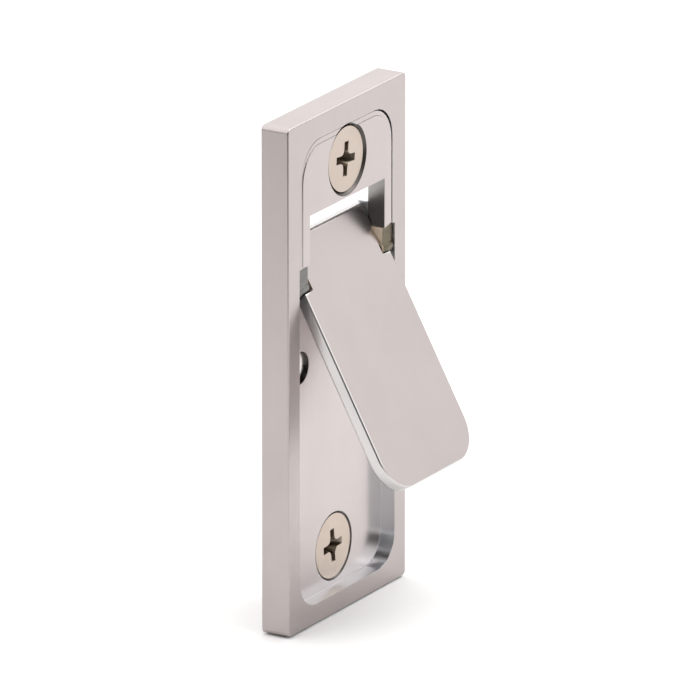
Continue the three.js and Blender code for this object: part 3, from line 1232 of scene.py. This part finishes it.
@dataclass
class CountersunkScrew:
    """A countersunk screw with a cross recess."""

    latch: Latch
    node: str
    name: str
    cross_turn: float
    worn: bool = False
    head_radius: float = 4.05
    head_land: float = 0.15
    shank_radius: float = 2.1
    root_radius: float = 1.5
    pitch: float = 1.4
    tip_length: float = 2.8
    plain_length: float = 1.0
    run_out: float = 0.35
    thread_base: float = 0.5
    thread_crest: float = 0.09
    thread_sink: float = 0.15
    thread_clear: float = 0.03
    point_share: float = 0.12
    steps_per_turn: int = 40
    recess_span: float = 4.7
    recess_width: float = 1.0
    recess_depth: float = 1.6
    recess_foot: float = 0.5
    core_radius: float = 1.25
    recess_over: float = 0.3
    recess_rim: float = 0.04
    recess_reach: float = 0.1
    rim_reach: float = 0.01
    edge_break: float = 0.05

    def cone_foot(self, head: float) -> float:
        """Level where the head's cone meets the shank."""
        return head - self.head_land - (self.head_radius - self.shank_radius) / self.latch.countersink_slope

    def profile(self, tip: float, head: float) -> list[Point]:
        """Half outline of the screw without its thread.

        Args:
            tip: Level of its point.
            head: Level of the top of its head.

        Returns:
            Points of radius and level from the point to the middle of the head.
        """
        foot = self.cone_foot(head)
        return [
            (0, tip),
            (self.root_radius, tip + self.tip_length),
            (self.root_radius, foot - self.plain_length),
            (self.shank_radius, foot - self.plain_length + self.run_out),
            (self.shank_radius, foot),
            (self.head_radius, head - self.head_land),
            (self.head_radius, head),
            (0, head),
        ]

    def thread(self, tip: float, head: float, height: float) -> BMesh:
        """The thread, one ridge that winds from the point to the plain shank and tapers with the point.

        Args:
            tip: Level of the screw's point.
            head: Level of the top of its head.
            height: Height of its axis.

        Returns:
            A closed bmesh.
        """
        base = self.pitch * self.thread_base / 2
        crest = self.pitch * self.thread_crest / 2
        first = tip + self.pitch * self.thread_base
        last = self.cone_foot(head) - self.plain_length - base + self.run_out / 2
        turns = (last - first) / self.pitch
        steps = round(turns * self.steps_per_turn)
        inner, outer = self.root_radius - self.thread_sink, self.shank_radius - self.thread_clear
        bm = bmesh.new()
        section = [(inner, -base), (outer, -crest), (outer, crest), (inner, base)]
        bm.faces.new([bm.verts.new((radius, -first - rise, 0)) for radius, rise in section])
        bmesh.ops.spin(
            bm,
            geom=everything(bm),
            cent=(0, 0, 0),
            axis=(0, 1, 0),
            dvec=(0, (first - last) / steps, 0),
            angle=FULL_TURN * turns,
            steps=steps,
            use_merge=False,
        )
        for vert in bm.verts:
            share = min(1, max(self.point_share, (-vert.co.y - tip) / self.tip_length))
            vert.co.x *= share
            vert.co.z *= share
        bmesh.ops.translate(bm, vec=(0, 0, height), verts=bm.verts)
        bmesh.ops.recalc_face_normals(bm, faces=bm.faces)
        return bm

    def cross(self, head: float, height: float) -> BMesh:
        """The cross recess, whose wings narrow towards their foot.

        Args:
            head: Level of the top of the head.
            height: Height of the screw's axis.

        Returns:
            The solid to cut away.
        """
        span, half = self.recess_span / 2, self.recess_width / 2
        wing, outline = [(half, half), (half, span), (-half, span)], []
        for _ in range(4):
            outline += wing
            wing = [(-z, x) for x, z in wing]
        bm = outline_prism(outline, {}, -self.recess_depth, self.recess_over, 1)
        inner = sorted(bm.edges, key=lambda edge: sum(abs(vert.co.x) + abs(vert.co.z) for vert in edge.verts))
        upright = [edge for edge in inner if abs(edge.verts[0].co.y - edge.verts[1].co.y) > self.recess_over]
        soften(bm, upright[:4], self.core_radius - half, 3)
        foot = [vert for vert in bm.verts if vert.co.y > 0]
        bmesh.ops.scale(bm, vec=(self.recess_foot, 1, self.recess_foot), verts=foot)
        turn = Matrix.Rotation(math.radians(self.cross_turn), 4, "Y")
        bmesh.ops.transform(bm, matrix=turn, verts=bm.verts)
        bmesh.ops.translate(bm, vec=(0, -head, height), verts=bm.verts)
        return bm

    def build(self, finishes: Finishes, effect: Effect) -> None:
        """Make the screw and dress it.

        Args:
            finishes: The latch's finishes.
            effect: The shared node groups.
        """
        low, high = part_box(self.node)
        tip, head = -high.y / MM, -low.y / MM
        height = (low.z + high.z) / 2 / MM
        work = Workpiece(turned(self.profile(tip, head), (0, height)))
        work.join(self.thread(tip, head, height))
        bm = work.cut(self.cross(head, height)).finished()
        land = -head + self.head_land + self.rim_reach
        rim = [edge for edge in sharp_edges(bm) if all(vert.co.y < land for vert in edge.verts)]
        soften(bm, rim, self.edge_break)
        # Faces deep in the cross recess get the recess colour, which is painted shade.
        for face in bm.faces:
            centre = face.calc_center_median()
            inside = math.hypot(centre.x, centre.z - height) < self.recess_span / 2
            deep = -head + self.recess_rim < centre.y < -head + self.recess_depth + self.recess_reach
            face.material_index = 1 if inside and deep else 0
        materials = effect.make(finishes.upper_screw if self.worn else finishes.screw, finishes.recess)
        deliver(bm, self.name, "plate", [self.node], materials)


@dataclass
class KeeperMagnet:
    """A disc magnet at the foot of its bore."""

    node: str
    name: str
    chamfer: float = 0.05

    def build(self, finishes: Finishes, effect: Effect) -> None:
        """Make the disc with its rim chamfered, and dress it.

        Args:
            finishes: The latch's finishes.
            effect: The shared node groups.
        """
        low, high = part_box(self.node)
        radius = (high.x - low.x) / 2 / MM
        bottom, top = -high.y / MM, -low.y / MM
        centre = ((low.x + high.x) / 2 / MM, (low.z + high.z) / 2 / MM)
        bm = turned([(0, bottom), (radius, bottom), (radius, top), (0, top)], centre)
        soften(bm, sharp_edges(bm), self.chamfer, 3)
        deliver(bm, self.name, "plate", [self.node], effect.make(finishes.magnet))


# ---------------------------------------------------------------- studio


@dataclass
class Studio:
    """A pale floor, a light tent with the viewer's dark opening, a black cloth, a soft box and the camera.

    Attributes:
        azimuth: Angle of the camera round the latch, in degrees.
        elevation: Its angle above the horizon, in degrees.
        distance: Its distance, in metres. So are all lengths here.
        aim: The point that it looks at.
        lens: Its focal length, in millimetres.
        tent_rise: Heights on a sphere of radius one between which the tent brightens.
        opening_inner: Angle from the camera's direction up to which the opening is dark, in degrees.
        opening_outer: Angle at which it has faded out.
    """

    azimuth: float = -59.389
    elevation: float = 18.142
    distance: float = 1.8364
    aim: Triple = (0.0017965, -0.0030643, -0.0000437)
    lens: float = 783.98
    clip: Point = (0.05, 20)
    floor_size: float = 6.0
    floor_tone: Triple = (0.8, 0.8, 0.8)
    floor_roughness: float = 0.9
    floor_drop: float = 0.0002
    cloth_tone: Triple = (0.02, 0.02, 0.02)
    cloth_drop: float = 0.0001
    cloth_near: float = 0.15
    cloth_far: float = 1.5
    cloth_width: float = 1.2
    tent_tone: Triple = (1.0, 0.995, 0.99)
    tent_low: float = 1.0
    tent_high: float = 1.85
    tent_rise: Point = (0.2, 0.36)
    opening_tone: float = 0.04
    opening_inner: float = 24
    opening_outer: float = 42
    lamp_way: Triple = (0.5, -0.35, 0.79)
    lamp_distance: float = 0.6
    lamp_size: float = 0.4
    lamp_power: float = 1.0

    def towards_camera(self) -> Vector:
        """Direction from the latch to the camera."""
        turn, rise = math.radians(self.azimuth), math.radians(self.elevation)
        return Vector((math.sin(turn) * math.cos(rise), -math.cos(turn) * math.cos(rise), math.sin(rise)))

    def camera(self) -> None:
        """Make the camera."""
        data = bpy.data.cameras.new("camera")
        data.lens = self.lens
        data.clip_start, data.clip_end = self.clip
        item = put("camera", data)
        back = self.towards_camera()
        item.location = Vector(self.aim) + back * self.distance
        item.rotation_euler = (-back).to_track_quat("-Z", "Y").to_euler()
        bpy.context.scene.camera = item

    def sheet(self, name: str, bm: BMesh, tone: Triple, roughness: float) -> bpy.types.Object:
        """Lay a matt sheet that is part of the stage.

        Args:
            name: Its name.
            bm: Its mesh, which is freed.
            tone: Its colour.
            roughness: Its roughness.

        Returns:
            The sheet.
        """
        item = shelf(bm, name)
        material = bpy.data.materials.new(name)
        material.use_nodes = True
        look = {"Base Color": (*tone, 1), "Roughness": roughness, "Specular IOR Level": 0.0}
        Wiring(material.node_tree).feed(material.node_tree.nodes["Principled BSDF"], look)
        item.data.materials.append(material)
        return item

    def floor(self) -> None:
        """Make the pale floor under the latch."""
        low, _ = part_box("body_plate")
        bm = bmesh.new()
        bmesh.ops.create_grid(bm, x_segments=2, y_segments=2, size=self.floor_size / 2)
        bmesh.ops.translate(bm, vec=(0, 0, low.z - self.floor_drop), verts=bm.verts)
        self.sheet("floor", bm, self.floor_tone, self.floor_roughness)

    def tent(self) -> None:
        """Make the world: a pale tent, brighter overhead, with a dark opening on the viewer's side."""
        world = bpy.data.worlds.new("tent")
        world.use_nodes = True
        bpy.context.scene.world = world
        wiring = Wiring(world.node_tree)
        where = wiring.add("TexCoord", {}).outputs["Generated"]
        split = wiring.add("SeparateXYZ", {"Vector": where})
        least, most = self.tent_rise
        climb = {"From Min": least, "From Max": most, "To Min": self.tent_low, "To Max": self.tent_high}
        rise = wiring.add("MapRange", {**climb, "Value": split.outputs["Z"]}, interpolation_type="SMOOTHSTEP")
        facing = wiring.add("VectorMath", {1: self.towards_camera(), 0: where}, operation="DOT_PRODUCT")
        inner, outer = (math.cos(math.radians(turn)) for turn in (self.opening_inner, self.opening_outer))
        edge = {"From Min": inner, "From Max": outer, "To Min": self.opening_tone, "To Max": 1.0}
        angle = {**edge, "Value": facing.outputs["Value"]}
        opening = wiring.add("MapRange", angle, interpolation_type="SMOOTHSTEP")
        factors = {0: rise.outputs["Result"], 1: opening.outputs["Result"]}
        level = wiring.add("Math", factors, operation="MULTIPLY")
        look = {"Strength": level.outputs["Value"], "Color": (*self.tent_tone, 1)}
        wiring.feed(world.node_tree.nodes["Background"], look)

    def black_cloth(self) -> None:
        """Lay a black cloth on the viewer's side, which only reflections see."""
        low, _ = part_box("body_plate")
        near, far = self.cloth_near, self.cloth_far
        turn = Matrix.Rotation(math.radians(self.azimuth), 3, "Z")
        bm = bmesh.new()
        bmesh.ops.create_grid(bm, x_segments=2, y_segments=2, size=0.5)
        bmesh.ops.scale(bm, vec=(self.cloth_width, far - near, 1), verts=bm.verts)
        bmesh.ops.translate(bm, vec=(0, -(near + far) / 2, 0), verts=bm.verts)
        bmesh.ops.rotate(bm, cent=(0, 0, 0), matrix=turn, verts=bm.verts)
        bmesh.ops.translate(bm, vec=(0, 0, low.z - self.cloth_drop), verts=bm.verts)
        item = self.sheet("black_flag", bm, self.cloth_tone, 1.0)
        item.visible_camera = False
        item.visible_diffuse = False
        item.visible_shadow = False

    def soft_box(self) -> None:
        """Make the soft box above the latch, facing it."""
        data = bpy.data.lights.new("high soft box", "AREA")
        data.shape = "DISK"
        data.size = self.lamp_size
        data.energy = self.lamp_power
        item = put("high soft box", data)
        direction = Vector(self.lamp_way).normalized()
        item.location = direction * self.lamp_distance
        item.rotation_euler = (-direction).to_track_quat("-Z", "Y").to_euler()

    def build(self) -> None:
        """Make the whole studio."""
        self.camera()
        self.floor()
        self.tent()
        self.black_cloth()
        self.soft_box()
        bpy.context.scene.view_settings.view_transform = "Standard"
        bpy.context.scene.view_settings.look = "None"


def main() -> None:
    """Build every piece and the studio."""
    logging.basicConfig(level=logging.INFO, format="%(name)s: %(message)s")
    Studio().build()
    effect = Effect()
    finishes = Finishes()
    latch = Latch()
    pieces = (
        BodyPlate(latch),
        HingeRetainer(latch),
        Lever(latch),
        PivotPin(latch),
        CountersunkScrew(latch, "upper_screw", "upper_wood_screw", 6, worn=True),
        CountersunkScrew(latch, "lower_screw", "lower_wood_screw", -5),
        KeeperMagnet("keeper_magnet_left", "left_magnet"),
        KeeperMagnet("keeper_magnet_right", "right_magnet"),
    )
    for piece in pieces:
        piece.build(finishes, effect)


if __name__ == "__main__":
    main()
